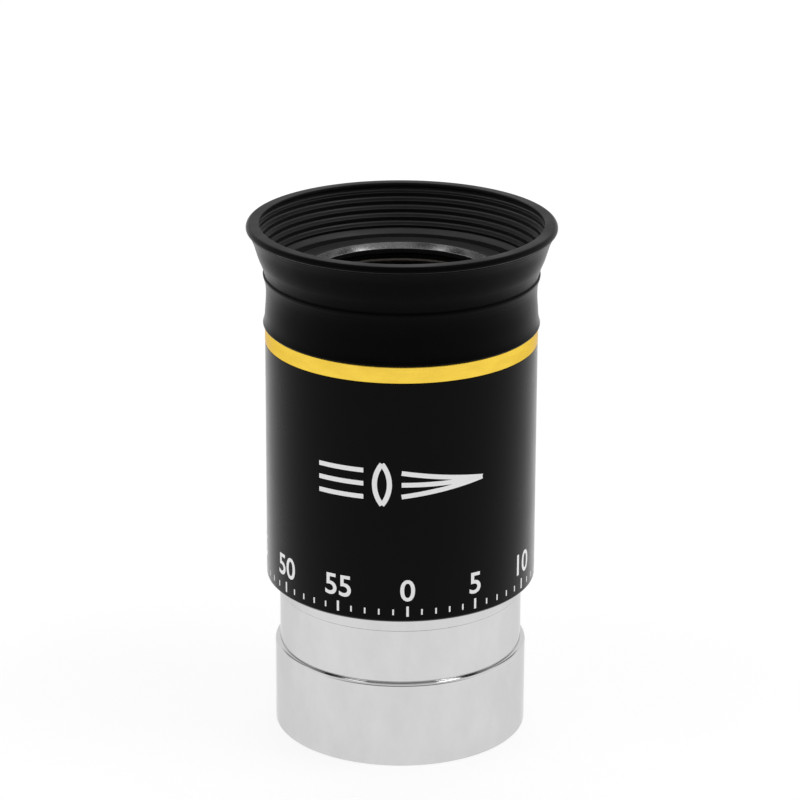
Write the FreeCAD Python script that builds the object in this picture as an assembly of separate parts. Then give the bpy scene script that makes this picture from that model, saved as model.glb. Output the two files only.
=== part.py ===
import FreeCAD, Part
import math
import os

# Telescope eyepiece, 20 mm focal length, for 31.75 mm (1.25 in) focusers.
# Millimetres. The optical axis is Z, the foot of the barrel is at Z = 0, the eye end is up.

V = FreeCAD.Vector
UP = V(0, 0, 1)

# ---------------------------------------------------------------- driving dimensions
# Barrel (chromed brass tube that slides into the focuser)
BARREL_R = 31.75 / 2
BARREL_FOOT_CHAMFER = 0.15
BARREL_LAND_TOP_Z = 10.70        # top of the full-diameter land, where the step rounds inwards
UNDERCUT_R = 15.27               # waist the focuser's screw bears on
UNDERCUT_FOOT_Z = 11.24          # inner corner of the step
BARREL_SEAM_Z = 18.0             # where the tube meets the shoulder collar
BARREL_BORE_R = 13.0
BARREL_BORE_CHAMFER = 0.3
SEAM_CHAMFER = 0.06
BARREL_BAFFLES = 11

# Filter thread in the foot, M28.5 x 0.6
FILTER_MINOR_R = 13.925
FILTER_MAJOR_R = 14.25
FILTER_CREST_W = 0.08
FILTER_PITCH = 0.6
FILTER_DEPTH = 3.6
FILTER_LEAD_R = FILTER_MAJOR_R + 0.2     # mouth of the lead-in cone
FILTER_RELIEF_R = FILTER_MAJOR_R + 0.1
FILTER_RELIEF_Z = FILTER_DEPTH + 0.6

# Thread between barrel and housing, single start, 0.75 mm pitch, four turns
THREAD_PITCH = 0.75
THREAD_TURNS = 4
THREAD_LENGTH = THREAD_PITCH * THREAD_TURNS
MALE_MAJOR_R = 14.60
MALE_MINOR_R = 14.14
MALE_CREST_W = 0.09
THREAD_CLEARANCE_R = 0.08        # radial, crest to root
THREAD_CLEARANCE_Z = 0.06        # axial, on each flank
FLANK = 2 * math.tan(math.radians(30))   # width gained for each mm of depth
ROOT_SINK = 0.08                 # how deep a thread's section starts inside its core

# Housing
BODY_R = 16.88
BODY_FOOT_Z = 19.83
BODY_TOP_Z = 50.90
BODY_FOOT_CHAMFER = 0.3
BODY_TOP_CHAMFER = 0.05
NECK_R = 15.6
NECK_TOP_Z = 59.0
NECK_CHAMFER = 0.2
HOUSING_BORE_R = 14.4
COLLAR_FIT_R = 15.6
COLLAR_TOP_Z = 25.0
COLLAR_LIP_Z = 21.3              # underside of the lip the lens cell stands on
COLLAR_LIP_T = 0.6
COLLAR_RELIEF = 0.8              # plain relief between the thread and the lip
COLLAR_LIP_R = 12.7
COLLAR_STEP = 0.3                # height of the collar's step inside the housing
COLLAR_CELL_GAP = 0.1            # radial, round the lens cell
FIT = 0.05                       # clearance between pieces that are assembled by hand

# Gold trim ring
TRIM_R = 16.90
TRIM_TOP_Z = 53.02
TRIM_CHAMFER = 0.12
TRIM_FOOT_CHAMFER = 0.05

# End cap that clamps the lens cell into the housing
CAP_R = 15.0
CAP_OPENING_R = 12.78
CAP_TOP_Z = 59.4
CAP_SEAT_Z = 58.3
CAP_SPIGOT_R = 14.35
CAP_SPIGOT_FOOT_Z = 55.85
CAP_SPIGOT_CHAMFER = 0.2
CAP_CHAMFER = 0.12
CAP_OPENING_CHAMFER = 0.1
CAP_HOLE_R = 0.5
CAP_HOLE_AT_R = 14.0
CAP_HOLE_DEPTH = 0.8

# Lens cell
CELL_R = 14.3
CELL_NECK_R = 13.3
CELL_FOOT_Z = COLLAR_LIP_Z + COLLAR_LIP_T + FIT
CELL_SHOULDER_Z = 55.8
CELL_TOP_Z = 58.7
CELL_FOOT_CHAMFER = 0.2
CELL_TOP_CHAMFER = 0.1
LENS_R = 12.3
LENS_BORE_R = 12.35
LEDGE_R = 11.7
LEDGE_T = 0.9
LEDGE_SLOPE = 0.4                # fall of the ledge's underside for each mm outwards
TUBE_BORE_R = 12.9
TUBE_BAFFLES = 8

# Lenses from the eye down: (surface radius, thickness below it). A positive radius
# has its centre below the surface, towards the telescope.
EYE_VERTEX_Z = 57.8
SURFACE_R = (-160.0, 28.02, -26.9, 38.11, -44.84, 34.0, -26.0, 60.0)
THICKNESS = (1.8, 7.0, 0.4, 5.0, 0.4, 6.4, 1.8)
SPACER_WALL = 0.6
SPACER_PLAY = 0.02

# Ring that holds the eye lens
RETAINER_R = 12.5
RETAINER_OPENING_R = 11.6
RETAINER_TOP_Z = 59.5
RETAINER_BEVEL = 0.6             # height of the bevel towards the eye
RETAINER_CHAMFER = 0.08
RETAINER_LAND = 0.07             # width of the flat between chamfer and bevel
RETAINER_SLOT_W = 1.0
RETAINER_SLOT_DEPTH = 0.45

# Field stop
STOP_R = 11.5
STOP_Z = 22.25
STOP_T = 1.1
STOP_EDGE_T = 0.15
STOP_FLAT_W = 0.4                # flat top of the stop, outside its cone

# Anti-reflection grooves inside the tubes
BAFFLE_PITCH = 1.0
BAFFLE_DEPTH = 0.35
BAFFLE_ROOT_Z = 0.15             # height of the deepest point above the foot of each groove
BAFFLE_END_Z = 0.75              # height where the groove runs out

# Rubber eyecup
CUP_FOOT_Z = TRIM_TOP_Z + FIT
CUP_BORE_R = NECK_R + FIT
CUP_FLANGE_R = CAP_R + FIT
CUP_FLANGE_Z = NECK_TOP_Z + FIT
CUP_FLOOR_Z = 59.35
CUP_LEDGE_R = 17.1               # top edge of the sleeve, proud of the skirt
CREASE_Z = 59.62                 # the fold line
CREASE_GAP = 0.05
RIM_SPLIT_Z = 63.1
RIM_R = 19.14
RIM_TOP_Z = 65.95
RIM_LIP_R = 17.5
RIDGE_PITCH = 1.027
RIDGE_FIRST_Z = 60.46
RIDGE_CREST_R = (16.5, 16.9, 17.2, 17.5, 17.8)
RIDGE_GROOVE_R = (17.1, 17.42, 17.72, 18.05, 18.12)   # groove above each crest
FIRST_GROOVE_R = 16.72           # groove below the first crest

# Outside of the eyecup, from the foot up
SLEEVE_WAIST = [(16.98, 53.7), (16.90, 54.3), (16.84, 55.1), (16.75, 56.4),
                (16.73, 57.3), (16.79, 58.2), (16.94, 58.9), (17.04, 59.2)]
SKIRT_FLARE = [(17.01, 60.05), (17.14, 60.5), (17.32, 61.0), (17.54, 61.5),
               (17.73, 62.0), (17.89, 62.5), (18.07, RIM_SPLIT_Z)]
RIM_FLARE = [(18.19, 63.5), (18.37, 64.0), (18.6, 64.5), (18.8, 64.85), (18.93, 65.05)]


# ---------------------------------------------------------------- helpers
def edge_from(here, step):
    """One edge of an outline and the point where it ends.

    A step is a point for a straight edge, or a list of points for a curve:
    two points make an arc, more make a smooth curve through all of them.
    """
    points = [here] + (step if isinstance(step, list) else [step])
    at = [V(r, 0, z) for r, z in points]
    if len(at) == 2:
        edge = Part.LineSegment(at[0], at[1]).toShape()
    elif len(at) == 3:
        edge = Part.Arc(at[0], at[1], at[2]).toShape()
    else:
        curve = Part.BSplineCurve()
        curve.interpolate(at)
        edge = curve.toShape()
    return edge, points[-1]


def turned(start, *steps):
    """Solid of revolution about Z from a closed outline of (radius, height) points."""
    edges = []
    here = start
    for step in list(steps) + [start]:
        if step == here:
            continue
        edge, here = edge_from(here, step)
        edges.append(edge)
    face = Part.Face(Part.Wire(edges))
    return face.revolve(V(0, 0, 0), UP, 360)


def thread_ridge(root_r, root_w, crest_r, crest_w, pitch, foot_z, turns):
    """Right-hand helical ridge of trapezoidal section."""
    spine = Part.Wire(Part.makeHelix(pitch, pitch * turns, root_r))
    section = Part.makePolygon([
        V(root_r, 0, -root_w / 2),
        V(crest_r, 0, -crest_w / 2),
        V(crest_r, 0, crest_w / 2),
        V(root_r, 0, root_w / 2),
        V(root_r, 0, -root_w / 2),
    ])
    ridge = spine.makePipeShell([section], True, True)
    ridge.translate(V(0, 0, foot_z))
    return ridge


def baffle_points(bore_r, foot_z, count):
    """Saw-tooth grooves up the wall of a bore, as outline points from the bottom up."""
    points = []
    for i in range(count):
        z = foot_z + i * BAFFLE_PITCH
        points.append((bore_r, z))
        points.append((bore_r + BAFFLE_DEPTH, z + BAFFLE_ROOT_Z))
        points.append((bore_r, z + BAFFLE_END_Z))
    return points


def sphere_z(vertex_z, radius, r):
    """Height of a lens surface at distance r from the axis."""
    sag = abs(radius) - math.sqrt(radius * radius - r * r)
    return vertex_z - math.copysign(sag, radius)


def vertex_heights():
    heights = [EYE_VERTEX_Z]
    for t in THICKNESS:
        heights.append(heights[-1] - t)
    return heights


VERTEX_Z = vertex_heights()


def surface(index, r):
    return sphere_z(VERTEX_Z[index], SURFACE_R[index], r)


def lens(upper):
    """Glass between surface number 'upper' and the next one down."""
    lower = upper + 1
    half = LENS_R / 2
    return turned(
        (0, VERTEX_Z[upper]),
        [(half, surface(upper, half)), (LENS_R, surface(upper, LENS_R))],
        (LENS_R, surface(lower, LENS_R)),
        [(half, surface(lower, half)), (0, VERTEX_Z[lower])],
    )


def spacer(upper):
    """Ring that fills the air gap below surface number 'upper' at the lens edges."""
    lower = upper + 1
    inner = LENS_R - SPACER_WALL
    return turned(
        (LENS_R, surface(upper, LENS_R) - SPACER_PLAY),
        (inner, surface(upper, inner) - SPACER_PLAY),
        (inner, surface(lower, inner) + SPACER_PLAY),
        (LENS_R, surface(lower, LENS_R) + SPACER_PLAY),
    )


# ---------------------------------------------------------------- barrel
def step_middle():
    """Middle point of the rounded step, on the quarter ellipse between the land and the undercut."""
    share = math.sin(math.pi / 4)
    return (UNDERCUT_R + (BARREL_R - UNDERCUT_R) * share,
            BARREL_LAND_TOP_Z + (UNDERCUT_FOOT_Z - BARREL_LAND_TOP_Z) * share)


def barrel_tube():
    thread_top = BARREL_SEAM_Z + THREAD_LENGTH
    taper_top = FILTER_RELIEF_Z + 0.8
    bore = baffle_points(BARREL_BORE_R, taper_top + 0.8, BARREL_BAFFLES)
    tube = turned(
        (FILTER_LEAD_R, 0),
        (BARREL_R - BARREL_FOOT_CHAMFER, 0),
        (BARREL_R, BARREL_FOOT_CHAMFER),
        (BARREL_R, BARREL_LAND_TOP_Z),
        [step_middle(), (UNDERCUT_R, UNDERCUT_FOOT_Z)],
        (UNDERCUT_R, BARREL_SEAM_Z - SEAM_CHAMFER),
        (UNDERCUT_R - SEAM_CHAMFER, BARREL_SEAM_Z),
        (MALE_MINOR_R, BARREL_SEAM_Z),
        (MALE_MINOR_R, thread_top),
        (BARREL_BORE_R + BARREL_BORE_CHAMFER, thread_top),
        (BARREL_BORE_R, thread_top - BARREL_BORE_CHAMFER),
        *reversed(bore),
        (BARREL_BORE_R, taper_top),
        (FILTER_RELIEF_R, FILTER_RELIEF_Z),
        (FILTER_RELIEF_R, FILTER_DEPTH),
        (FILTER_MINOR_R, FILTER_DEPTH),
        (FILTER_MINOR_R, FILTER_LEAD_R - FILTER_MINOR_R),
    )
    return cut_filter_thread(add_male_thread(tube))


def add_male_thread(tube):
    root_r = MALE_MINOR_R - ROOT_SINK
    root_w = MALE_CREST_W + FLANK * (MALE_MAJOR_R - root_r)
    ridge = thread_ridge(
        root_r, root_w, MALE_MAJOR_R, MALE_CREST_W,
        THREAD_PITCH, BARREL_SEAM_Z - THREAD_PITCH, THREAD_TURNS + 2,
    )
    foot = V(0, 0, BARREL_SEAM_Z)
    sleeve = Part.makeCylinder(MALE_MAJOR_R + 1, THREAD_LENGTH, foot)
    sleeve = sleeve.cut(Part.makeCylinder(MALE_MINOR_R - ROOT_SINK / 2, THREAD_LENGTH, foot))
    return tube.fuse(ridge.common(sleeve))


def cut_filter_thread(tube):
    root_r = FILTER_MINOR_R - ROOT_SINK
    root_w = FILTER_CREST_W + FLANK * (FILTER_MAJOR_R - root_r) * 0.95   # keeps turns from touching
    groove = thread_ridge(
        root_r, root_w, FILTER_MAJOR_R, FILTER_CREST_W,
        FILTER_PITCH, -FILTER_PITCH, FILTER_DEPTH / FILTER_PITCH + 1.5,
    )
    return tube.cut(groove)


# ---------------------------------------------------------------- housing
def shoulder_collar():
    minor_r = MALE_MINOR_R + THREAD_CLEARANCE_R
    major_r = MALE_MAJOR_R + THREAD_CLEARANCE_R + 0.02
    ring = turned(
        (minor_r, BARREL_SEAM_Z),
        (UNDERCUT_R - SEAM_CHAMFER, BARREL_SEAM_Z),
        (UNDERCUT_R, BARREL_SEAM_Z + SEAM_CHAMFER),
        (UNDERCUT_R, BODY_FOOT_Z + COLLAR_STEP),
        (COLLAR_FIT_R, BODY_FOOT_Z + COLLAR_STEP),
        (COLLAR_FIT_R, COLLAR_TOP_Z),
        (CELL_R + COLLAR_CELL_GAP, COLLAR_TOP_Z),
        (CELL_R + COLLAR_CELL_GAP, COLLAR_LIP_Z + COLLAR_LIP_T),
        (COLLAR_LIP_R, COLLAR_LIP_Z + COLLAR_LIP_T),
        (COLLAR_LIP_R, COLLAR_LIP_Z),
        (major_r, COLLAR_LIP_Z),
        (major_r, COLLAR_LIP_Z - COLLAR_RELIEF),
        (minor_r, COLLAR_LIP_Z - COLLAR_RELIEF),
    )
    root_r = minor_r - ROOT_SINK
    male_w = MALE_CREST_W + FLANK * (MALE_MAJOR_R - root_r)
    crest_w = MALE_CREST_W + FLANK * (MALE_MAJOR_R - major_r) + 2 * THREAD_CLEARANCE_Z
    groove = thread_ridge(
        root_r, male_w + 2 * THREAD_CLEARANCE_Z, major_r, crest_w,
        THREAD_PITCH, BARREL_SEAM_Z - THREAD_PITCH, THREAD_TURNS + 0.85,
    )
    return ring.cut(groove)


def housing_shell():
    return turned(
        (COLLAR_FIT_R, BODY_FOOT_Z),
        (BODY_R - BODY_FOOT_CHAMFER, BODY_FOOT_Z),
        (BODY_R, BODY_FOOT_Z + BODY_FOOT_CHAMFER),
        (BODY_R, BODY_TOP_Z - BODY_TOP_CHAMFER),
        (BODY_R - BODY_TOP_CHAMFER, BODY_TOP_Z),
        (NECK_R, BODY_TOP_Z),
        (NECK_R, NECK_TOP_Z - NECK_CHAMFER),
        (NECK_R - NECK_CHAMFER, NECK_TOP_Z),
        (CAP_R + FIT, NECK_TOP_Z),
        (CAP_R + FIT, CAP_SEAT_Z),
        (HOUSING_BORE_R, CAP_SEAT_Z),
        (HOUSING_BORE_R, COLLAR_TOP_Z),
        (COLLAR_FIT_R, COLLAR_TOP_Z),
    )


def gold_trim_ring():
    return turned(
        (NECK_R, BODY_TOP_Z),
        (TRIM_R - TRIM_FOOT_CHAMFER, BODY_TOP_Z),
        (TRIM_R, BODY_TOP_Z + TRIM_FOOT_CHAMFER),
        (TRIM_R, TRIM_TOP_Z - TRIM_CHAMFER),
        (TRIM_R - TRIM_CHAMFER, TRIM_TOP_Z),
        (NECK_R, TRIM_TOP_Z),
    )


def eye_end_cap():
    cell_clear_r = CELL_NECK_R + FIT
    lip_z = CELL_TOP_Z + FIT
    cap = turned(
        (cell_clear_r, CAP_SPIGOT_FOOT_Z),
        (CAP_SPIGOT_R - CAP_SPIGOT_CHAMFER, CAP_SPIGOT_FOOT_Z),
        (CAP_SPIGOT_R, CAP_SPIGOT_FOOT_Z + CAP_SPIGOT_CHAMFER),
        (CAP_SPIGOT_R, CAP_SEAT_Z),
        (CAP_R, CAP_SEAT_Z),
        (CAP_R, CAP_TOP_Z - CAP_CHAMFER),
        (CAP_R - CAP_CHAMFER, CAP_TOP_Z),
        (CAP_OPENING_R + CAP_OPENING_CHAMFER, CAP_TOP_Z),
        (CAP_OPENING_R, CAP_TOP_Z - CAP_OPENING_CHAMFER),
        (CAP_OPENING_R, lip_z),
        (cell_clear_r, lip_z),
    )
    for side in (-1, 1):
        hole_at = V(side * CAP_HOLE_AT_R, 0, CAP_TOP_Z - CAP_HOLE_DEPTH)
        cap = cap.cut(Part.makeCylinder(CAP_HOLE_R, CAP_HOLE_DEPTH + 0.2, hole_at))
    return cap


# ---------------------------------------------------------------- optics
def lens_cell():
    ledge_z = surface(7, LENS_R)
    lens_top_z = surface(0, LENS_R)
    tube = baffle_points(TUBE_BORE_R, STOP_Z + STOP_T + 0.6, TUBE_BAFFLES)
    return turned(
        (TUBE_BORE_R, CELL_FOOT_Z),
        (CELL_R - CELL_FOOT_CHAMFER, CELL_FOOT_Z),
        (CELL_R, CELL_FOOT_Z + CELL_FOOT_CHAMFER),
        (CELL_R, CELL_SHOULDER_Z),
        (CELL_NECK_R, CELL_SHOULDER_Z),
        (CELL_NECK_R, CELL_TOP_Z - CELL_TOP_CHAMFER),
        (CELL_NECK_R - CELL_TOP_CHAMFER, CELL_TOP_Z),
        (RETAINER_R, CELL_TOP_Z),
        (RETAINER_R, lens_top_z),
        (LENS_BORE_R, lens_top_z),
        (LENS_BORE_R, ledge_z),
        (LEDGE_R, ledge_z),
        (LEDGE_R, ledge_z - LEDGE_T),
        (TUBE_BORE_R, ledge_z - LEDGE_T - (TUBE_BORE_R - LEDGE_R) * LEDGE_SLOPE),
        *reversed(tube),
    )


def eye_retaining_ring():
    foot_z = surface(0, LENS_R)
    ring = turned(
        (RETAINER_OPENING_R, foot_z),
        (RETAINER_R, foot_z),
        (RETAINER_R, RETAINER_TOP_Z - RETAINER_CHAMFER),
        (RETAINER_R - RETAINER_CHAMFER, RETAINER_TOP_Z),
        (RETAINER_R - RETAINER_CHAMFER - RETAINER_LAND, RETAINER_TOP_Z),
        (RETAINER_OPENING_R, RETAINER_TOP_Z - RETAINER_BEVEL),
    )
    slot = Part.makeBox(
        2 * RETAINER_R + 2, RETAINER_SLOT_W, RETAINER_SLOT_DEPTH,
        V(-RETAINER_R - 1, -RETAINER_SLOT_W / 2, RETAINER_TOP_Z - RETAINER_SLOT_DEPTH),
    )
    return ring.cut(slot)


def field_stop_ring():
    top_z = STOP_Z + STOP_T
    return turned(
        (STOP_R, STOP_Z),
        (TUBE_BORE_R, STOP_Z),
        (TUBE_BORE_R, top_z),
        (TUBE_BORE_R - STOP_FLAT_W, top_z),
        (STOP_R, STOP_Z + STOP_EDGE_T),
    )


# ---------------------------------------------------------------- eyecup
def ridge_points(first, last):
    """Inside of the cup from ridge 'first' up to the groove above ridge 'last'.

    Each ridge is a tooth: a face that slopes out and up from the crest, then an undercut
    below the next crest.
    """
    points = []
    for i in range(first, last + 1):
        z = RIDGE_FIRST_Z + i * RIDGE_PITCH
        points.append((RIDGE_CREST_R[i], z - 0.04))
        points.append((RIDGE_CREST_R[i], z + 0.05))
        points.append((RIDGE_GROOVE_R[i], z + 0.5))
        points.append((RIDGE_GROOVE_R[i], z + 0.64))
    return points


def eyecup_sleeve():
    return turned(
        (CUP_BORE_R, CUP_FOOT_Z),
        (16.98, CUP_FOOT_Z),
        [(17.08, CUP_FOOT_Z + 0.04), (17.12, CUP_FOOT_Z + 0.14)],
        SLEEVE_WAIST,
        (CUP_LEDGE_R, CREASE_Z - 0.17),
        (CUP_LEDGE_R - 0.05, CREASE_Z),
        (16.46, CREASE_Z),
        (16.3, CUP_FLOOR_Z),
        (CUP_FLANGE_R, CUP_FLOOR_Z),
        (CUP_FLANGE_R, CUP_FLANGE_Z),
        (CUP_BORE_R, CUP_FLANGE_Z),
    )


def eyecup_skirt():
    foot_z = CREASE_Z + CREASE_GAP
    teeth = ridge_points(0, 2)
    return turned(
        (16.48, foot_z),
        (16.86, foot_z),
        (16.93, foot_z + 0.09),
        SKIRT_FLARE,
        (RIDGE_GROOVE_R[2], RIM_SPLIT_Z),
        *reversed(teeth[:-1]),
        (FIRST_GROOVE_R, RIDGE_FIRST_Z - 0.34),
        (FIRST_GROOVE_R, RIDGE_FIRST_Z - 0.46),
    )


def eyecup_rim():
    foot_z = RIM_SPLIT_Z + CREASE_GAP
    groove_r = RIDGE_GROOVE_R[4]
    last_z = RIDGE_FIRST_Z + 4 * RIDGE_PITCH
    teeth = ridge_points(3, 4)
    return turned(
        (RIDGE_GROOVE_R[2], foot_z),
        (18.09, foot_z),
        RIM_FLARE,
        [(18.93, 65.1), (19.02, 65.17)],
        [(RIM_R, 65.42), (19.0, 65.72)],
        [(18.86, 65.84), (18.65, RIM_TOP_Z - 0.04)],
        (18.3, RIM_TOP_Z),
        (RIM_LIP_R + 0.2, RIM_TOP_Z),
        [(RIM_LIP_R + 0.05, RIM_TOP_Z - 0.06), (RIM_LIP_R, RIM_TOP_Z - 0.2)],
        [(RIM_LIP_R + 0.08, RIM_TOP_Z - 0.42), (RIM_LIP_R + 0.3, RIM_TOP_Z - 0.6)],
        (groove_r, last_z + 0.66),
        (groove_r, last_z + 0.5),
        *reversed(teeth[:-2]),
    )


# ---------------------------------------------------------------- write every piece
PIECES = {
    "barrel_tube": barrel_tube,
    "shoulder_collar": shoulder_collar,
    "housing_shell": housing_shell,
    "gold_trim_ring": gold_trim_ring,
    "eye_end_cap": eye_end_cap,
    "lens_cell": lens_cell,
    "eye_lens_flint": lambda: lens(0),
    "eye_lens_crown": lambda: lens(1),
    "upper_spacer": lambda: spacer(2),
    "centre_lens": lambda: lens(3),
    "lower_spacer": lambda: spacer(4),
    "field_lens_crown": lambda: lens(5),
    "field_lens_flint": lambda: lens(6),
    "eye_retaining_ring": eye_retaining_ring,
    "field_stop_ring": field_stop_ring,
    "eyecup_sleeve": eyecup_sleeve,
    "eyecup_skirt": eyecup_skirt,
    "eyecup_rim": eyecup_rim,
}


def main():
    os.makedirs("parts", exist_ok=True)
    for name, make in PIECES.items():
        shape = make()
        if len(shape.Solids) != 1 or not shape.isValid():
            raise RuntimeError(name + " is not one valid solid")
        shape.Solids[0].exportStep("parts/" + name + ".step")
        box = shape.BoundBox
        print(name, round(shape.Volume, 1), "mm3, z", round(box.ZMin, 2), "to", round(box.ZMax, 2))


main()
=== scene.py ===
import math

import bmesh
import bpy
import numpy as np
from mathutils import Matrix, Vector


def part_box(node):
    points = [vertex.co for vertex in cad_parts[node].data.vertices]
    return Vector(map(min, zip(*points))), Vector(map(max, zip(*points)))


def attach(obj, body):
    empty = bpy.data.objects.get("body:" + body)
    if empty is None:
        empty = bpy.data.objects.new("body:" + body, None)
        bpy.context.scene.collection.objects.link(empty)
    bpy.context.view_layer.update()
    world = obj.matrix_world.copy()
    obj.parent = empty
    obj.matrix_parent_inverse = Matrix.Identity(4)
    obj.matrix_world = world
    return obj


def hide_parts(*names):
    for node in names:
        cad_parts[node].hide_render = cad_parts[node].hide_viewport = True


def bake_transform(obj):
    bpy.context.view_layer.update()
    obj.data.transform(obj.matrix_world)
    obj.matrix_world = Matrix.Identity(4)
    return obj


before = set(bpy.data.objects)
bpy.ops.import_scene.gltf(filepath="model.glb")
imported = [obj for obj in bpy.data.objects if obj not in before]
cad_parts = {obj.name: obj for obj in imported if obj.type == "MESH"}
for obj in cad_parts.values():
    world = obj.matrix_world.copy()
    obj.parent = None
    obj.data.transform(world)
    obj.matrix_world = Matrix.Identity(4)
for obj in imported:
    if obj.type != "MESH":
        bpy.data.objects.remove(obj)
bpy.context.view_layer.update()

MM = 0.001
ROUND = 224          # segments round the axis


# ------------------------------------------------------------------ driving dimensions, in millimetres
def cad(node):
    """Outer radius, foot and top of a CAD piece."""
    low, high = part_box(node)
    return round(high[0] / MM, 3), round(low[2] / MM, 3), round(high[2] / MM, 3)


BARREL_R, BARREL_FOOT_Z, MALE_TOP_Z = cad("barrel_tube")
COLLAR_R, SEAM_Z, COLLAR_TOP_Z = cad("shoulder_collar")
BODY_R, BODY_FOOT_Z, NECK_TOP_Z = cad("housing_shell")
TRIM_R, BODY_TOP_Z, TRIM_TOP_Z = cad("gold_trim_ring")
CAP_R, CAP_FOOT_Z, CAP_TOP_Z = cad("eye_end_cap")
CELL_R, CELL_FOOT_Z, CELL_TOP_Z = cad("lens_cell")
TUBE_BORE_R, STOP_FOOT_Z, STOP_TOP_Z = cad("field_stop_ring")
RETAINER_R, _, RETAINER_TOP_Z = cad("eye_retaining_ring")
LENS_R, _, _ = cad("centre_lens")

FIT = 0.05                       # clearance between pieces assembled by hand
UNDERCUT_R = 15.27               # waist of the barrel, and the collar above it
LAND_TOP_Z = 10.70               # where the barrel's step starts to round inwards
STEP_H = 0.54
BARREL_BORE_R = 13.0
BARREL_BAFFLES = 11
THREAD_PITCH = 0.75              # thread between barrel and collar
MALE_MINOR_R = 14.14
MALE_MAJOR_R = 14.60
FEMALE_MINOR_R = 14.22
FEMALE_MAJOR_R = 14.70
FILTER_PITCH = 0.6               # filter thread in the barrel's foot
FILTER_MINOR_R = 13.925
FILTER_MAJOR_R = 14.25
FILTER_DEPTH = 3.6
LIP_FOOT_Z = 21.3                # lip of the collar, under the lens cell
LIP_TOP_Z = 21.9
LIP_R = 12.7
HOUSING_BORE_R = 14.4
NECK_R = 15.6                    # neck that carries the eyecup
CAP_SEAT_Z = 58.3                # shoulder in the housing that the end cap rests on
CAP_OPENING_R = 12.78
CELL_NECK_R = 13.3
LEDGE_R = 11.7                   # ledge under the field lens
RETAINER_OPENING_R = 11.6
STOP_OPENING_R = 11.5


# ------------------------------------------------------------------ shader helpers
def material(name, colour, rough, metallic=0.0, ior=1.5, **sockets):
    mat = bpy.data.materials.new(name)
    mat.use_nodes = True
    shader = mat.node_tree.nodes["Principled BSDF"]
    shader.inputs["Base Color"].default_value = (*colour, 1)
    shader.inputs["Roughness"].default_value = rough
    shader.inputs["Metallic"].default_value = metallic
    shader.inputs["IOR"].default_value = ior
    for key, value in sockets.items():
        shader.inputs[key.replace("_", " ")].default_value = value
    return mat


def node(mat, kind, **values):
    """A new node; keys are input names, or attributes of the node itself."""
    made = mat.node_tree.nodes.new(kind)
    for key, value in values.items():
        label = key.replace("_", " ")
        if label in made.inputs:
            made.inputs[label].default_value = value
        else:
            setattr(made, key, value)
    return made


def link(mat, source, target):
    mat.node_tree.links.new(source, target)


def stretched(mat, scale):
    """Object coordinates, scaled: a large Z scale with small X and Y gives rings round the axis."""
    coords = node(mat, "ShaderNodeTexCoord")
    mapping = node(mat, "ShaderNodeMapping")
    mapping.inputs["Scale"].default_value = scale
    link(mat, coords.outputs["Object"], mapping.inputs["Vector"])
    return mapping.outputs["Vector"]


def noise(mat, scale, detail=3.0, rough=0.5):
    """Noise with scale as cycles per metre along X, Y and Z."""
    made = node(mat, "ShaderNodeTexNoise", Scale=1.0, Detail=detail, Roughness=rough)
    link(mat, stretched(mat, scale), made.inputs["Vector"])
    return made.outputs["Fac"]


def ramp(mat, source, low, high, a, b):
    """Maps source from low..high to a..b, clamped."""
    made = node(mat, "ShaderNodeMapRange")
    made.inputs["From Min"].default_value = low
    made.inputs["From Max"].default_value = high
    made.inputs["To Min"].default_value = a
    made.inputs["To Max"].default_value = b
    link(mat, source, made.inputs["Value"])
    return made.outputs["Result"]


def bump(mat, source, strength, distance, after=None):
    made = node(mat, "ShaderNodeBump", Strength=strength, Distance=distance)
    link(mat, source, made.inputs["Height"])
    if after is not None:
        link(mat, after, made.inputs["Normal"])
    return made.outputs["Normal"]


def shader_in(mat, name):
    return mat.node_tree.nodes["Principled BSDF"].inputs[name]


def tint(mat, source, dark, light):
    """Base colour that drifts between two colours."""
    made = node(mat, "ShaderNodeMix", data_type="RGBA")
    made.inputs[6].default_value = (*dark, 1)
    made.inputs[7].default_value = (*light, 1)
    link(mat, source, made.inputs["Factor"])
    link(mat, made.outputs[2], shader_in(mat, "Base Color"))


# ------------------------------------------------------------------ materials
def chrome():
    mat = material("chrome_plate", (0.64, 0.64, 0.64), 0.06, metallic=1.0,
                   Specular_Tint=(0.84, 0.84, 0.84, 1))
    lines = noise(mat, (40, 40, 16000), 2.0)
    cloud = noise(mat, (260, 260, 150), 4.0, 0.6)
    link(mat, ramp(mat, cloud, 0.3, 0.7, 0.045, 0.09), shader_in(mat, "Roughness"))
    tint(mat, ramp(mat, cloud, 0.35, 0.65, 0, 1), (0.625, 0.625, 0.628), (0.662, 0.662, 0.662))
    link(mat, bump(mat, lines, 0.05, 0.00002), shader_in(mat, "Normal"))
    return mat


def anodised(name, colour, rough, ior, line_strength, sheen=0.0):
    mat = material(name, colour, rough, ior=ior, Sheen_Weight=sheen, Sheen_Roughness=0.28)
    lines = noise(mat, (60, 60, 9000), 3.0)
    grain = noise(mat, (26000, 26000, 26000), 2.0)
    cloud = noise(mat, (150, 150, 220), 3.0)
    link(mat, ramp(mat, cloud, 0.3, 0.7, rough - 0.04, rough + 0.05), shader_in(mat, "Roughness"))
    dark = tuple(c * 0.8 for c in colour)
    light = tuple(c * 1.25 for c in colour)
    tint(mat, ramp(mat, grain, 0.35, 0.65, 0, 1), dark, light)
    rings = bump(mat, lines, line_strength, 0.00002)
    link(mat, bump(mat, grain, 0.12, 0.00001, rings), shader_in(mat, "Normal"))
    return mat


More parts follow.
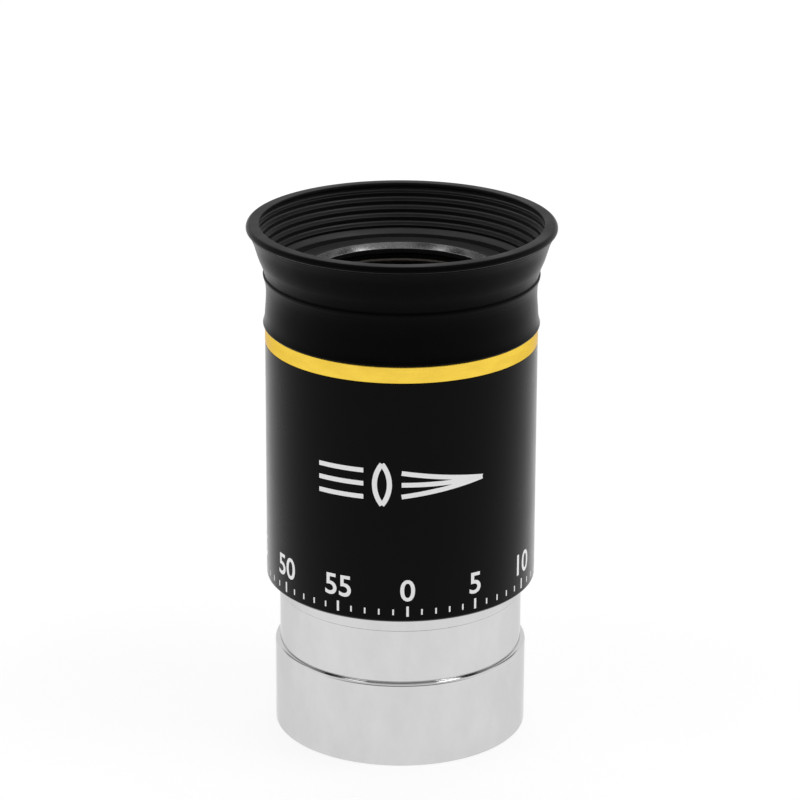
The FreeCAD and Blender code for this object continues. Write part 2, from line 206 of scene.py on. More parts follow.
def gloss_black():
    """Dark plated ring: turned and lacquered, so it mirrors the lamps."""
    mat = material("gloss_black", (0.28, 0.28, 0.282), 0.2, metallic=1.0)
    lines = noise(mat, (60, 60, 12000), 3.0)
    speck = noise(mat, (7000, 7000, 7000), 3.0, 0.7)
    link(mat, ramp(mat, speck, 0.3, 0.7, 0.14, 0.28), shader_in(mat, "Roughness"))
    tint(mat, ramp(mat, speck, 0.4, 0.7, 0, 1), (0.19, 0.19, 0.192), (0.38, 0.38, 0.382))
    link(mat, bump(mat, lines, 0.10, 0.00002), shader_in(mat, "Normal"))
    return mat


def gold():
    mat = material("gold_anodised", (0.88, 0.60, 0.073), 0.24, metallic=1.0,
                   Specular_Tint=(0.80, 0.70, 0.52, 1))
    lines = noise(mat, (50, 50, 14000), 3.0)
    cloud = noise(mat, (300, 300, 900), 2.0)
    link(mat, ramp(mat, lines, 0.3, 0.7, 0.20, 0.30), shader_in(mat, "Roughness"))
    tint(mat, ramp(mat, cloud, 0.35, 0.65, 0, 1), (0.84, 0.57, 0.068), (0.91, 0.63, 0.078))
    link(mat, bump(mat, lines, 0.12, 0.00003), shader_in(mat, "Normal"))
    return mat


def rubber(name, level, ior, sheen):
    mat = material(name, (level, level, level), 0.42, ior=ior, Sheen_Weight=sheen, Sheen_Roughness=0.28)
    grain = noise(mat, (5200, 5200, 5200), 4.0, 0.6)
    cloud = noise(mat, (180, 180, 300), 3.0)
    dust = noise(mat, (900, 900, 900), 5.0, 0.7)
    link(mat, ramp(mat, cloud, 0.3, 0.7, 0.36, 0.50), shader_in(mat, "Roughness"))
    tint(mat, ramp(mat, dust, 0.55, 0.75, 0, 1), (level, level, level), (level * 2.2,) * 3)
    fine = bump(mat, grain, 0.10, 0.00003)
    link(mat, bump(mat, cloud, 0.10, 0.0001, fine), shader_in(mat, "Normal"))
    return mat


def paint_black(name="inner_black", rough=0.7, level=0.004):
    mat = material(name, (level, level, level), rough, ior=1.3)
    grain = noise(mat, (9000, 9000, 9000), 3.0)
    link(mat, ramp(mat, grain, 0.3, 0.7, rough - 0.08, rough + 0.08), shader_in(mat, "Roughness"))
    tint(mat, ramp(mat, grain, 0.4, 0.7, 0, 1), (level * 0.7,) * 3, (level * 1.6,) * 3)
    link(mat, bump(mat, grain, 0.2, 0.00002), shader_in(mat, "Normal"))
    return mat


def glass():
    mat = material("coated_glass", (0.50, 0.55, 0.53), 0.0, ior=1.45, Transmission_Weight=1.0,
                   Specular_IOR_Level=0.1)
    shader = mat.node_tree.nodes["Principled BSDF"]
    shader.inputs["Thin Film Thickness"].default_value = 320.0
    shader.inputs["Thin Film IOR"].default_value = 1.38
    smear = noise(mat, (110, 110, 110), 2.0)
    link(mat, ramp(mat, smear, 0.45, 0.8, 0.0, 0.02), shader_in(mat, "Roughness"))
    return mat


def ink():
    mat = material("white_ink", (0.86, 0.86, 0.86), 0.45)
    wear = noise(mat, (3800, 3800, 3800), 4.0, 0.65)
    tint(mat, ramp(mat, wear, 0.62, 0.80, 0, 1), (0.88, 0.88, 0.88), (0.66, 0.66, 0.66))
    link(mat, bump(mat, wear, 0.15, 0.00001), shader_in(mat, "Normal"))
    return mat


CHROME = chrome()
BODY_BLACK = anodised("black_anodised", (0.0016, 0.0016, 0.0017), 0.30, 1.14, 0.12, 0.9)
CAP_BLACK = anodised("cap_black", (0.042, 0.042, 0.0422), 0.42, 1.35, 0.25)
GLOSS_BLACK = gloss_black()
GOLD = gold()
RUBBER = rubber("black_rubber", 0.0006, 1.11, 0.6)
# The inside and the rim use brighter copies of the same black rubber: painted light for the top light
# that the teeth and the lip catch.
RUBBER_INNER_LIT = rubber("rubber_inner_lit", 0.004, 1.6, 0.0)
RUBBER_RIM_LIT = rubber("rubber_rim_lit", 0.010, 1.18, 0.0)
INNER = paint_black()
EDGE_INK = paint_black("lens_edge_black", 0.6, 0.003)
GLASS = glass()
INK = ink()


# ------------------------------------------------------------------ mesh helpers
ANGLES = np.arange(ROUND) * (2 * math.pi / ROUND)
TINY = 1e-6                      # shorter than this, in millimetres, is nothing


def lathe(name, rings, mats, body, closed=True, sharp=32):
    """Solid of revolution about the optical axis, in millimetres.

    rings holds (radius, height, material index of the band above it in the list). A radius may be
    an array with one value for each angle, for threads. A radius of 0 makes a pole.
    """
    verts, starts, sizes = [], [], []
    for radius, z, _ in rings:
        starts.append(len(verts))
        r = np.broadcast_to(np.asarray(radius, float), (ROUND,))
        if r.max() < TINY:
            verts.append((0, 0, z * MM))
            sizes.append(1)
            continue
        x = r * np.cos(ANGLES) * MM
        y = r * np.sin(ANGLES) * MM
        verts += list(zip(x, y, np.full(ROUND, z * MM)))
        sizes.append(ROUND)
    faces, kinds = [], []
    bands = len(rings) if closed else len(rings) - 1
    for i in range(bands):
        j = (i + 1) % len(rings)
        if sizes[i] == 1 and sizes[j] == 1:
            continue
        for k in range(ROUND):
            n = (k + 1) % ROUND
            a, b = starts[i] + k, starts[i] + n
            c, d = starts[j] + n, starts[j] + k
            if sizes[i] == 1:
                faces.append((starts[i], c, d))
            elif sizes[j] == 1:
                faces.append((a, b, starts[j]))
            else:
                faces.append((a, b, c, d))
            kinds.append(rings[i][2])
    mesh = bpy.data.meshes.new(name)
    mesh.from_pydata(verts, [], faces)
    mesh.polygons.foreach_set("material_index", kinds)
    return finish_piece(name, mesh, mats, body, sharp)


def finish_piece(name, mesh, mats, body, sharp=32):
    bm = bmesh.new()
    bm.from_mesh(mesh)
    bmesh.ops.remove_doubles(bm, verts=bm.verts, dist=1e-8)
    bmesh.ops.recalc_face_normals(bm, faces=bm.faces)
    bm.to_mesh(mesh)
    bm.free()
    mesh.shade_smooth()
    mesh.set_sharp_from_angle(angle=math.radians(sharp))
    for mat in mats:
        mesh.materials.append(mat)
    piece = bpy.data.objects.new(name, mesh)
    bpy.context.scene.collection.objects.link(piece)
    if body:
        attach(piece, body)
    return piece


def corner(before, here, after, size, steps):
    """The points that round off one corner; just the corner itself if it is too short to round."""
    here = np.array(here, float)
    back = np.array(before, float) - here
    ahead = np.array(after, float) - here
    back_len, ahead_len = np.linalg.norm(back), np.linalg.norm(ahead)
    if min(here[0], back_len, ahead_len) < TINY:
        return [tuple(here)]
    cut = min(size, back_len * 0.45, ahead_len * 0.45)
    straight = abs(np.dot(back / back_len, ahead / ahead_len) + 1) < 0.002
    if straight or cut < 0.004:
        return [tuple(here)]
    p0 = here + back / back_len * cut
    p2 = here + ahead / ahead_len * cut
    return [tuple((1 - t) ** 2 * p0 + 2 * t * (1 - t) * here + t * t * p2)
            for t in (s / steps for s in range(steps + 1))]


def plain(points, kind=0):
    """Outline points that all have the same material."""
    return [(r, z, kind) for r, z in points]


def rounded(points, size, steps):
    """A closed outline of (r, z, material) with every corner rounded."""
    out = []
    for i, (r, z, kind) in enumerate(points):
        before, after = points[i - 1], points[(i + 1) % len(points)]
        made = corner(before[:2], (r, z), after[:2], size, steps)
        for k, p in enumerate(made):
            out.append((p[0], p[1], before[2] if k < len(made) / 2 and len(made) > 1 else kind))
    return out


def eased(points, size, steps):
    """An open line of (r, z) with its corners rounded."""
    out = [points[0]]
    for before, here, after in zip(points, points[1:], points[2:]):
        out += corner(before, here, after, size, steps)
    return out + [points[-1]]


def smooth(points, per):
    """Catmull-Rom curve through (r, z) points."""
    pts = np.array(points, float)
    ext = np.vstack([2 * pts[0] - pts[1], pts, 2 * pts[-1] - pts[-2]])
    out = []
    for i in range(1, len(ext) - 2):
        p0, p1, p2, p3 = ext[i - 1:i + 3]
        for s in range(per):
            t = s / per
            out.append(tuple(0.5 * ((2 * p1) + (p2 - p0) * t + (2 * p0 - 5 * p1 + 4 * p2 - p3) * t * t
                                    + (3 * p1 - p0 - 3 * p2 + p3) * t ** 3)))
    out.append(tuple(pts[-1]))
    return out


def thread(minor, major, low, high, pitch, rows=10):
    """Rings of a right-hand 60 degree thread that fades out at both ends, from low to high."""
    out = []
    count = int(round((high - low) / pitch * rows))
    for i in range(count + 1):
        z = low + (high - low) * i / count
        phase = (z / pitch - ANGLES / (2 * math.pi)) % 1.0
        height = np.clip((0.5 - np.abs(phase - 0.5)) * 2.5 - 0.25, 0, 1)
        fade = np.clip(min(z - low, high - z) / (pitch * 0.6), 0, 1)
        depth = (major - minor) * height * fade
        out.append((minor + depth, z, 0))
    return out


# ------------------------------------------------------------------ barrel and collar
def make_barrel():
    shine, dark = 0, 1
    step = [(UNDERCUT_R + (BARREL_R - UNDERCUT_R) * math.cos(a), LAND_TOP_Z + STEP_H * math.sin(a))
            for a in np.linspace(0, math.pi / 2, 13)]
    outside = rounded(plain([
        (FILTER_MAJOR_R + 0.2, BARREL_FOOT_Z), (BARREL_R - 0.15, BARREL_FOOT_Z),
        (BARREL_R, BARREL_FOOT_Z + 0.15), *step, (UNDERCUT_R, SEAM_Z - 0.02),
        (UNDERCUT_R - 0.02, SEAM_Z), (MALE_MINOR_R, SEAM_Z),
    ], shine), 0.09, 5)
    male = thread(MALE_MINOR_R, MALE_MAJOR_R, SEAM_Z, MALE_TOP_Z, THREAD_PITCH)
    bore = [(BARREL_BORE_R + 0.3, MALE_TOP_Z), (BARREL_BORE_R, MALE_TOP_Z - 0.3)]
    relief_z = FILTER_DEPTH + 0.6
    for i in reversed(range(BARREL_BAFFLES)):
        z = relief_z + 1.6 + i
        bore += [(BARREL_BORE_R, z + 0.75), (BARREL_BORE_R + 0.34, z + 0.17),
                 (BARREL_BORE_R + 0.35, z + 0.13), (BARREL_BORE_R, z)]
    bore += [(BARREL_BORE_R, relief_z + 0.8), (FILTER_MAJOR_R + 0.05, relief_z + 0.05)]
    relief = [(FILTER_MAJOR_R + 0.1, relief_z), (FILTER_MAJOR_R + 0.1, FILTER_DEPTH + 0.02),
              (FILTER_MINOR_R, FILTER_DEPTH)]
    filter_thread = thread(FILTER_MINOR_R, FILTER_MAJOR_R, 0.53, FILTER_DEPTH - 0.02, FILTER_PITCH)
    rings = outside + male + plain(bore, dark) + plain(relief, shine) + filter_thread[::-1]
    piece = lathe("barrel", rings, [CHROME, INNER], "barrel", sharp=40)
    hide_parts("barrel_tube")


def make_collar():
    shine, dark = 0, 1
    step_z = BODY_FOOT_Z + 0.3
    relief_z = LIP_FOOT_Z - 0.8
    outside = [(UNDERCUT_R - 0.02, SEAM_Z), (UNDERCUT_R, SEAM_Z + 0.02), (UNDERCUT_R, step_z),
               (COLLAR_R, step_z), (COLLAR_R, COLLAR_TOP_Z), (HOUSING_BORE_R, COLLAR_TOP_Z)]
    lip = [(HOUSING_BORE_R, LIP_TOP_Z), (LIP_R, LIP_TOP_Z), (LIP_R, LIP_FOOT_Z)]
    under = [(FEMALE_MAJOR_R, LIP_FOOT_Z), (FEMALE_MAJOR_R, relief_z)]
    rings = rounded(plain(outside, shine) + plain(lip, dark) + plain(under, shine), 0.05, 3)
    female = thread(FEMALE_MINOR_R, FEMALE_MAJOR_R, SEAM_Z, relief_z, THREAD_PITCH)
    rings += female[::-1]
    piece = lathe("collar", rings, [CHROME, INNER], "housing", sharp=40)
    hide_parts("shoulder_collar")


# ------------------------------------------------------------------ housing
def make_body():
    rings = rounded(plain([
        (COLLAR_R, BODY_FOOT_Z), (BODY_R - 0.3, BODY_FOOT_Z), (BODY_R, BODY_FOOT_Z + 0.3),
        (BODY_R, BODY_TOP_Z - 0.05), (BODY_R - 0.05, BODY_TOP_Z), (NECK_R, BODY_TOP_Z),
        (NECK_R, NECK_TOP_Z - 0.2), (NECK_R - 0.2, NECK_TOP_Z), (CAP_R + FIT, NECK_TOP_Z),
        (CAP_R + FIT, CAP_SEAT_Z), (HOUSING_BORE_R, CAP_SEAT_Z), (HOUSING_BORE_R, COLLAR_TOP_Z),
        (COLLAR_R, COLLAR_TOP_Z),
    ]), 0.08, 4)
    piece = lathe("housing_body", rings, [BODY_BLACK], "housing")
    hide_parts("housing_shell")


def make_trim():
    rings = rounded(plain([
        (NECK_R, BODY_TOP_Z), (TRIM_R - 0.05, BODY_TOP_Z), (TRIM_R, BODY_TOP_Z + 0.05),
        (TRIM_R, TRIM_TOP_Z - 0.12), (TRIM_R - 0.12, TRIM_TOP_Z), (NECK_R, TRIM_TOP_Z),
    ]), 0.06, 4)
    piece = lathe("trim_ring", rings, [GOLD], "housing")
    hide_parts("gold_trim_ring")


def cut_with(piece, cutters):
    """Boolean difference, applied. The cutters are removed."""
    for cutter in cutters:
        mod = piece.modifiers.new("cut", "BOOLEAN")
        mod.operation = "DIFFERENCE"
        mod.solver = "EXACT"
        mod.object = cutter
    bpy.context.view_layer.update()
    graph = bpy.context.evaluated_depsgraph_get()
    mesh = bpy.data.meshes.new_from_object(piece.evaluated_get(graph))
    piece.modifiers.clear()
    piece.data = mesh
    mesh.shade_smooth()
    mesh.set_sharp_from_angle(angle=math.radians(32))
    for cutter in cutters:
        bpy.data.objects.remove(cutter)


def cutter_from(bm):
    mesh = bpy.data.meshes.new("cutter")
    bm.to_mesh(mesh)
    bm.free()
    cutter = bpy.data.objects.new("cutter", mesh)
    bpy.context.scene.collection.objects.link(cutter)
    return cutter


def block(low, high):
    """A closed box to cut with, in millimetres."""
    bm = bmesh.new()
    bmesh.ops.create_cube(bm, size=1)
    for v in bm.verts:
        for i in range(3):
            v.co[i] = ((low[i] + high[i]) / 2 + v.co[i] * (high[i] - low[i])) * MM
    return cutter_from(bm)


def drill(x, y, low, high, radius):
    """A round cutter with a bevelled mouth, in millimetres."""
    sides = 24
    bm = bmesh.new()
    rows = []
    for r, z in ((radius, low), (radius, high - 0.06), (radius + 0.16, high + 0.10)):
        ring = []
        for k in range(sides):
            a = k * 2 * math.pi / sides
            ring.append(bm.verts.new(((x + r * math.cos(a)) * MM, (y + r * math.sin(a)) * MM, z * MM)))
        rows.append(ring)
    for a, b in zip(rows, rows[1:]):
        for k in range(sides):
            n = (k + 1) % sides
            bm.faces.new((a[k], a[n], b[n], b[k]))
    bm.faces.new(list(reversed(rows[0])))
    bm.faces.new(rows[-1])
    return cutter_from(bm)


def make_cap():
    spigot_r = HOUSING_BORE_R - FIT
    cell_clear_r = CELL_NECK_R + FIT
    lip_z = CELL_TOP_Z + FIT
    rings = rounded(plain([
        (cell_clear_r, CAP_FOOT_Z), (spigot_r - 0.2, CAP_FOOT_Z), (spigot_r, CAP_FOOT_Z + 0.2),
        (spigot_r, CAP_SEAT_Z), (CAP_R, CAP_SEAT_Z), (CAP_R, CAP_TOP_Z - 0.12),
        (CAP_R - 0.12, CAP_TOP_Z), (CAP_OPENING_R + 0.1, CAP_TOP_Z), (CAP_OPENING_R, CAP_TOP_Z - 0.1),
        (CAP_OPENING_R, lip_z), (cell_clear_r, lip_z),
    ]), 0.04, 3)
    piece = lathe("end_cap", rings, [CAP_BLACK], None)
    cut_with(piece, [drill(x, 0, CAP_TOP_Z - 0.8, CAP_TOP_Z, 0.5) for x in (-14.0, 14.0)])
    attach(piece, "housing")
    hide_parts("eye_end_cap")


# ------------------------------------------------------------------ optics
# Lens surfaces from the eye down: (vertex height, radius). A positive radius has its centre below.
SURFACES = ((57.8, -160.0), (56.0, 28.02), (49.0, -26.9), (48.6, 38.11), (43.6, -44.84),
            (43.2, 34.0), (36.8, -26.0), (35.0, 60.0))


def surface_z(index, r):
    vertex, radius = SURFACES[index]
    return vertex - math.copysign(abs(radius) - math.sqrt(radius * radius - r * r), radius)


def make_lens(name, top, bottom, nodes):
    """A ground lens: polished faces, a tiny edge bevel, and an ink-blacked rim."""
    clear, inked = 0, 1
    bevel_w, bevel_h = 0.12, 0.1
    steps = 26
    edge_r = LENS_R - bevel_w
    radii = [LENS_R * i / steps for i in range(steps)]
    rings = [(r, surface_z(top, r), clear) for r in radii]
    rings.append((edge_r, surface_z(top, edge_r), inked))
    rings.append((LENS_R, surface_z(top, LENS_R) - bevel_h, inked))
    rings.append((LENS_R, surface_z(bottom, LENS_R) + bevel_h, inked))
    rings.append((edge_r, surface_z(bottom, edge_r), clear))
    rings += [(r, surface_z(bottom, r), clear) for r in reversed(radii)]
    piece = lathe(name, rings, [GLASS, EDGE_INK], "optics", closed=False, sharp=25)
    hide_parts(*nodes)


def make_lenses():
    make_lens("eye_doublet", 0, 2, ["eye_lens_flint", "eye_lens_crown"])
    make_lens("centre_glass", 3, 4, ["centre_lens"])
    make_lens("field_doublet", 5, 7, ["field_lens_crown", "field_lens_flint"])


def make_retainer():
    foot = surface_z(0, LENS_R)
    top = RETAINER_TOP_Z
    outside = [(RETAINER_OPENING_R, foot), (RETAINER_R, foot), (RETAINER_R, top - 0.08),
               (RETAINER_R - 0.08, top), (RETAINER_R - 0.15, top)]
    bore = [(RETAINER_OPENING_R, top - 0.6)]
    rings = rounded(plain(outside, 0) + plain(bore, 1), 0.05, 4)
    piece = lathe("retaining_ring", rings, [GLOSS_BLACK, INNER], None)
    slot_reach = RETAINER_R + 1
    cut_with(piece, [block((-slot_reach, -0.5, top - 0.45), (slot_reach, 0.5, top + 1))])
    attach(piece, "optics")
    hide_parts("eye_retaining_ring")


def make_stop():
    rings = rounded(plain([
        (STOP_OPENING_R, STOP_FOOT_Z), (TUBE_BORE_R, STOP_FOOT_Z), (TUBE_BORE_R, STOP_TOP_Z),
        (TUBE_BORE_R - 0.4, STOP_TOP_Z), (STOP_OPENING_R, STOP_FOOT_Z + 0.15),
    ]), 0.03, 2)
    piece = lathe("field_stop", rings, [INNER], "optics")
    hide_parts("field_stop_ring")


def make_cell():
    ledge = surface_z(7, LENS_R)
    seat = surface_z(0, LENS_R)
    shoulder = CAP_FOOT_Z - FIT
    lens_bore_r = LENS_R + FIT
    baffles = 8
    points = [
        (TUBE_BORE_R, CELL_FOOT_Z), (CELL_R - 0.2, CELL_FOOT_Z), (CELL_R, CELL_FOOT_Z + 0.2),
        (CELL_R, shoulder), (CELL_NECK_R, shoulder), (CELL_NECK_R, CELL_TOP_Z - 0.1),
        (CELL_NECK_R - 0.1, CELL_TOP_Z), (RETAINER_R, CELL_TOP_Z), (RETAINER_R, seat),
        (lens_bore_r, seat), (lens_bore_r, ledge), (LEDGE_R, ledge), (LEDGE_R, ledge - 0.9),
        (TUBE_BORE_R, ledge - 1.38),
    ]
    for i in reversed(range(baffles)):
        z = STOP_TOP_Z + 0.6 + i
        points += [(TUBE_BORE_R, z + 0.75), (TUBE_BORE_R + 0.35, z + 0.15), (TUBE_BORE_R, z)]
    piece = lathe("lens_tube", rounded(plain(points), 0.05, 2), [INNER], "optics")
    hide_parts("lens_cell")


def make_spacers():
    inner = LENS_R - 0.6
    play = 0.02
    for name, top, bottom in (("upper_spacer", 2, 3), ("lower_spacer", 4, 5)):
        rings = rounded(plain([
            (LENS_R, surface_z(top, LENS_R) - play), (inner, surface_z(top, inner) - play),
            (inner, surface_z(bottom, inner) + play), (LENS_R, surface_z(bottom, LENS_R) + play),
        ]), 0.04, 2)
        piece = lathe(name + "_ring", rings, [INNER], "optics")
        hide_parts(name)


# ------------------------------------------------------------------ eyecup
TOOTH_PITCH = 1.027
FIRST_TOOTH_Z = 60.46
CREST_R = (16.5, 16.9, 17.2, 17.5, 17.8)          # from the lowest tooth up
GROOVE_R = (17.1, 17.42, 17.72, 18.05, 18.12)     # groove above each tooth
LEAN = 0.0115                    # rise for each mm across: about 0.66 degrees
LEAN_FOOT_Z = 59.7
LEAN_GROWTH = 5.0                # height over which the lean comes in

# Outline of the outside, from the foot up, then over the lip
SLEEVE = [(17.12, 53.21), (16.98, 53.7), (16.90, 54.3), (16.84, 55.1), (16.75, 56.4), (16.73, 57.3),
          (16.79, 58.2), (16.94, 58.9), (17.04, 59.2)]
CREASE = [(17.095, 59.42), (17.10, 59.53), (17.075, 59.59), (17.02, 59.62), (16.93, 59.635),
          (16.88, 59.655), (16.88, 59.675), (16.91, 59.70), (16.92, 59.74)]
FLARE = [(16.93, 59.80), (17.01, 60.05), (17.14, 60.5), (17.32, 61.0), (17.54, 61.5), (17.73, 62.0),
         (17.89, 62.5), (18.07, 63.1), (18.19, 63.5), (18.37, 64.0), (18.60, 64.5), (18.78, 64.85),
         (18.89, 65.02)]
NOTCH = [(18.87, 65.055), (18.875, 65.09), (18.93, 65.13)]
BEAD = [(19.02, 65.18), (19.11, 65.28), (19.14, 65.42), (19.12, 65.58), (19.03, 65.76), (18.88, 65.88)]
TOP = [(18.80, 65.915), (18.66, 65.94), (18.3, 65.95), (17.9, 65.95), (17.62, 65.945)]
LIP = [(17.55, 65.925), (17.51, 65.88), (17.50, 65.80), (17.50, 65.70), (17.52, 65.60),
       (17.57, 65.51), (17.66, 65.43)]
# The floor inside, the seat on the neck and the bore down to the foot
SEAT = [(15.15, 59.35), (15.07, 59.32), (15.05, 59.25), (15.05, 59.10), (15.10, 59.05), (15.6, 59.05),
        (15.65, 59.03), (15.65, 53.15), (15.73, 53.07), (16.94, 53.07), (17.06, 53.10)]


def cup_inside():
    """The toothed inside of the cup from the top down: each tooth slopes out and up from its crest
    and is undercut below."""
    last = len(CREST_R) - 1
    points = [(17.78, 65.36), (18.12, 65.24)]
    for i in reversed(range(len(CREST_R))):
        z = FIRST_TOOTH_Z + i * TOOTH_PITCH
        deep, tip = GROOVE_R[i], CREST_R[i]
        rise = 1.0
        if i == last:
            rise = 0.75
        else:
            points.append((deep - 0.06, z + 0.64))
        points += [(deep, z + 0.42 * rise), (deep * 0.8 + tip * 0.2, z + 0.28 * rise),
                   (deep * 0.45 + tip * 0.55, z + 0.17 * rise),
                   (tip, z + 0.04), (tip, z - 0.04)]
    points += [(16.72, 60.10), (16.72, 60.0), (16.46, 59.64), (16.26, 59.40), (16.05, 59.35)]
    return eased(points, 0.07, 3)


def lean_cup(mesh):
    """The soft cup was pushed on by hand: above its crease it leans a fraction of a degree."""
    for v in mesh.vertices:
        t = min(max((v.co.z / MM - LEAN_FOOT_Z) / LEAN_GROWTH, 0.0), 1.0)
        v.co.z -= v.co.y * LEAN * t * t * (3 - 2 * t)


def make_eyecup():
    outer, inner, rim = 0, 1, 2
    outside = smooth(SLEEVE, 5) + CREASE + smooth(FLARE, 4) + NOTCH + smooth(BEAD, 4)
    rings = plain(outside, outer) + plain(smooth(TOP, 4) + LIP, rim)
    rings += plain(cup_inside(), inner) + plain(SEAT, outer)
    # the inside and the rim get the brighter rubber copies, which are painted light
    piece = lathe("eyecup", rings, [RUBBER, RUBBER_INNER_LIT, RUBBER_RIM_LIT], None, sharp=60)
    lean_cup(piece.data)
    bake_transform(piece)
    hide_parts("eyecup_sleeve", "eyecup_skirt", "eyecup_rim")


# ------------------------------------------------------------------ printed marks
INK_HALF = 0.02                  # half the thickness of a slab of ink
INK_PROUD = 0.012                # how far the ink stands out of the housing
STRIP_W = 0.45                   # width of the strips that let flat artwork bend


def wrap(bm, z0):
    """Bends flat artwork (x along the surface, y up, z outward, in mm) round the housing's front."""
    for v in bm.verts:
        x, y, out = v.co
        a = x / BODY_R
        r = BODY_R - INK_HALF + out + INK_PROUD
        v.co = Vector((r * math.sin(a) * MM, -r * math.cos(a) * MM, (z0 + y) * MM))


def slice_across(bm, width):
    """Cuts flat artwork into narrow strips so that it can bend."""
    x = -width
    while x < width:
        geom = bm.verts[:] + bm.edges[:] + bm.faces[:]
        bmesh.ops.bisect_plane(bm, geom=geom, dist=1e-6, plane_co=(x, 0, 0), plane_no=(1, 0, 0))
        x += STRIP_W


def text_art(body, size, at_x, weight):
    """Flat text in millimetres as a closed thin slab."""
    curve = bpy.data.curves.new("mark", "FONT")
    curve.body = body
    curve.size = size
    curve.align_x = "CENTER"
    curve.offset = weight
    curve.resolution_u = 6
    curve.extrude = INK_HALF
    holder = bpy.data.objects.new("mark", curve)
    bpy.context.scene.collection.objects.link(holder)
    bpy.context.view_layer.update()
    graph = bpy.context.evaluated_depsgraph_get()
    mesh = bpy.data.meshes.new_from_object(holder.evaluated_get(graph))
    bpy.data.objects.remove(holder)
    bm = bmesh.new()
    bm.from_mesh(mesh)
    for v in bm.verts:
        v.co.x += at_x
    return bm


def stroke_art(points, width):
    """A flat line of the given width through the points, as a closed thin slab."""
    bm = bmesh.new()
    pts = np.array(points, float)
    tangents = np.gradient(pts, axis=0)
    tangents /= np.linalg.norm(tangents, axis=1)[:, None]
    side = np.stack([-tangents[:, 1], tangents[:, 0]], 1) * width / 2
    rows = []
    for p, s in zip(pts, side):
        rows.append([bm.verts.new((p[0] + k * s[0], p[1] + k * s[1], out))
                     for k, out in ((1, INK_HALF), (-1, INK_HALF), (-1, -INK_HALF), (1, -INK_HALF))])
    for a, b in zip(rows, rows[1:]):
        for i in range(4):
            j = (i + 1) % 4
            bm.faces.new((a[i], a[j], b[j], b[i]))
    bm.faces.new(rows[0])
    bm.faces.new(list(reversed(rows[-1])))
    return bm


def arc(cx, cy, radius, a0, a1):
    return [(cx + radius * math.cos(a), cy + radius * math.sin(a)) for a in np.linspace(a0, a1, 25)]


def line(x0, y0, x1, y1, count):
    return list(zip(np.linspace(x0, x1, count), np.linspace(y0, y1, count)))


def join_art(parts):
    whole = bmesh.new()
    for bm in parts:
        mesh = bpy.data.meshes.new("scrap")
        bm.to_mesh(mesh)
        bm.free()
        whole.from_mesh(mesh)
        bpy.data.meshes.remove(mesh)
    return whole


def put_marks(name, parts, z0, has_text):
    whole = join_art(parts)
    if has_text:
        slice_across(whole, math.pi * BODY_R + 3)
    wrap(whole, z0)
    mesh = bpy.data.meshes.new(name)
    whole.to_mesh(mesh)
    whole.free()
    finish_piece(name, mesh, [INK], "housing")


def make_emblem():
    """A small drawing of a lens bending three rays."""
    face_r, half = 4.3, 2.65
    lens_x = -2.3
    lens_w, ray_w = 0.62, 0.6
    reach = math.asin(half / face_r)
    inset = face_r * math.cos(reach)
    parts = [stroke_art(arc(lens_x + inset, 0, face_r, math.pi - reach, math.pi + reach), lens_w),
             stroke_art(arc(lens_x - inset, 0, face_r, -reach, reach), lens_w)]
    for height in (-1.7, 0, 1.7):
        parts.append(stroke_art(line(-10.6, height, -4.6, height, 12), ray_w))
        parts.append(stroke_art(line(0.1, height * 0.9, 10.6, 0, 30), ray_w))
    put_marks("lens_emblem", parts, 37.9, False)


def make_dial():
    """A plain scale of 60 ticks with a number at every fifth, all the way round the housing."""
    ticks = 60
    step = 2 * math.pi * BODY_R / ticks
    parts = []
    for i in range(-ticks // 2, ticks // 2):
        x = (i + 0.5) * step
        if i % 5 == 0:
            parts.append(stroke_art(line(x, -2.1, x, -0.75, 3), 0.30))
            parts.append(text_art(str(i % ticks), 3.9, x, 0.05))
        else:
            parts.append(stroke_art(line(x, -1.9, x, -1.15, 3), 0.2))
    put_marks("dial_scale", parts, 22.75, True)


# ------------------------------------------------------------------ stage, light, camera
def make_stage():
    """A glowing white floor, with painted shade in the patch inside the barrel's foot, where the barrel
    covers the floor.
    """
    half = 3
    mesh = bpy.data.meshes.new("floor")
    mesh.from_pydata([(-half, -half, 0), (half, -half, 0), (half, half, 0), (-half, half, 0)],
                     [], [(0, 1, 2, 3)])
    floor = bpy.data.objects.new("floor", mesh)
    bpy.context.scene.collection.objects.link(floor)
    mat = material("floor_white", (0.45, 0.45, 0.45), 0.9, ior=1.2)
    shader = mat.node_tree.nodes["Principled BSDF"]
    shader.inputs["Emission Color"].default_value = (1, 1, 1, 1)
    coords = node(mat, "ShaderNodeTexCoord")
    length = node(mat, "ShaderNodeVectorMath", operation="LENGTH")
    link(mat, coords.outputs["Object"], length.inputs[0])
    # painted shade: no glow inside the barrel's foot radius
    glow = ramp(mat, length.outputs["Value"], 0.0145, 0.0157, 0.0, 0.70)
    link(mat, glow, shader.inputs["Emission Strength"])
    mesh.materials.append(mat)


def soft_lamp(name, at, power):
    """A rectangular lamp above the object, aimed at the barrel's step."""
    data = bpy.data.lights.new(name, "AREA")
    data.shape = "RECTANGLE"
    data.size, data.size_y = 0.20, 0.07
    data.energy = power
    lamp = bpy.data.objects.new(name, data)
    lamp.location = at
    direction = Vector((0, 0, 0.011)) - Vector(at)
    lamp.rotation_euler = direction.to_track_quat("-Z", "Y").to_euler()
    bpy.context.scene.collection.objects.link(lamp)


def maths(mat, operation, a, b):
    made = node(mat, "ShaderNodeMath", operation=operation)
    for socket, value in zip(made.inputs, (a, b)):
        if isinstance(value, (int, float)):
            socket.default_value = value
        else:
            link(mat, value, socket)
    return made.outputs[0]


def product(mat, a, b):
    return maths(mat, "MULTIPLY", a, b)


def between(mat, value, low, high, soft):
    """1 where value lies between low and high, fading to 0 over soft on each side."""
    return product(mat, ramp(mat, value, low - soft, low + soft, 0.0, 1.0),
                   ramp(mat, value, high - soft, high + soft, 1.0, 0.0))


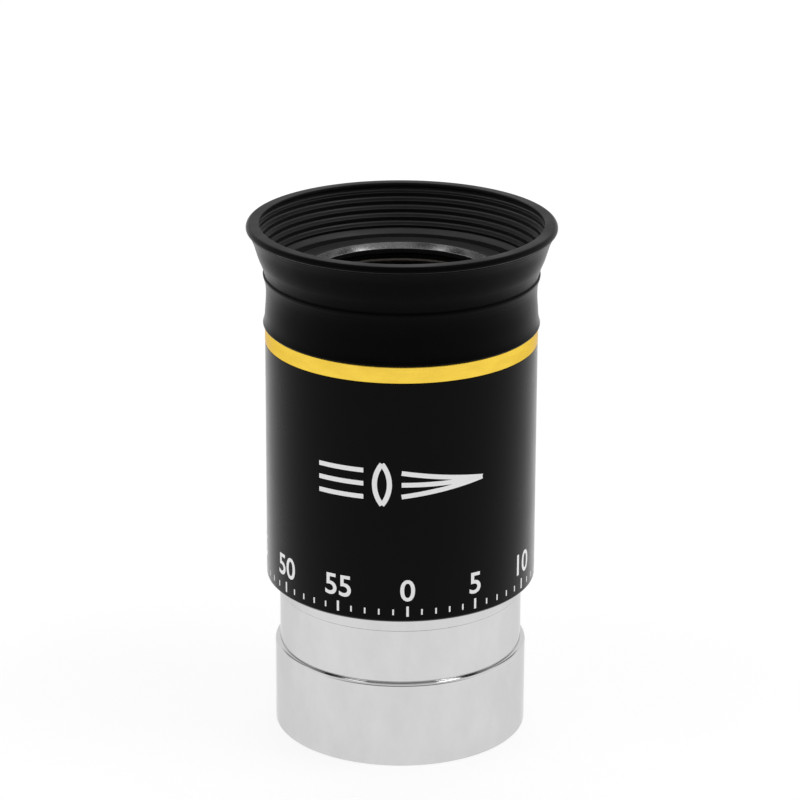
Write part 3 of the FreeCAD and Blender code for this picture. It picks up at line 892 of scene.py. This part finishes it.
def make_light():
    """A white room, dim overhead and in front, with dark patches that the metal mirrors."""
    world = bpy.data.worlds.new("studio")
    bpy.context.scene.world = world
    world.use_nodes = True
    coords = node(world, "ShaderNodeTexCoord")
    split = node(world, "ShaderNodeSeparateXYZ")
    link(world, coords.outputs["Generated"], split.inputs[0])
    x, y, z = split.outputs["X"], split.outputs["Y"], split.outputs["Z"]
    aside = maths(world, "ABSOLUTE", x, 0)

    front = product(world, ramp(world, y, -0.80, -0.30, 1.0, 0.0), ramp(world, z, 0.30, 0.62, 0.75, 0.0))
    ceiling = ramp(world, z, 0.60, 0.96, 0.0, 0.48)
    level = maths(world, "SUBTRACT", maths(world, "SUBTRACT", 0.95, front), ceiling)
    patches = (
        # along x,           low, high, soft; along y;      height and depth of the shade
        (aside, (0.46, 0.68, 0.015), (-0.10, 0.30, 0.015), (0.55, 0.65, 0.97)),
        (x, (-0.36, -0.13, 0.03), (-0.14, 0.10, 0.02), (0.80, 0.90, 0.9)),
        (aside, (0.48, 0.72, 0.03), (0.36, 0.78, 0.05), (0.36, 0.46, 0.80)),
    )
    for across, x_span, y_span, (low, high, depth) in patches:
        patch = product(world, between(world, across, *x_span), between(world, y, *y_span))
        patch = product(world, patch, ramp(world, z, low, high, 0.0, depth))
        level = product(world, level, maths(world, "SUBTRACT", 1.0, patch))
    back = world.node_tree.nodes["Background"]
    back.inputs["Color"].default_value = (1, 1, 1, 1)
    link(world, level, back.inputs["Strength"])
    soft_lamp("lamp_left", (-0.245, -0.06, 0.59), 0.09)
    soft_lamp("lamp_right", (0.27, -0.06, 0.58), 0.24)


def make_camera():
    distance = 0.4649
    elevation = math.radians(19.87)
    roll = math.radians(0.232)
    target = Vector((0, 0, 0.04275))
    data = bpy.data.cameras.new("camera")
    data.lens = 167.9
    data.sensor_width = 36
    data.shift_x = -0.0015
    data.clip_start = 0.01
    data.clip_end = 20
    camera = bpy.data.objects.new("camera", data)
    camera.location = target + distance * Vector((0, -math.cos(elevation), math.sin(elevation)))
    turn = (target - camera.location).to_track_quat("-Z", "Y").to_matrix()
    camera.rotation_euler = (turn @ Matrix.Rotation(roll, 3, "Z")).to_euler()
    bpy.context.scene.collection.objects.link(camera)
    bpy.context.scene.camera = camera


make_barrel()
make_collar()
make_body()
make_trim()
make_cap()
make_cell()
make_lenses()
make_spacers()
make_stop()
make_retainer()
make_eyecup()
make_emblem()
make_dial()
make_stage()
make_light()
make_camera()
bpy.context.scene.view_settings.view_transform = "Standard"
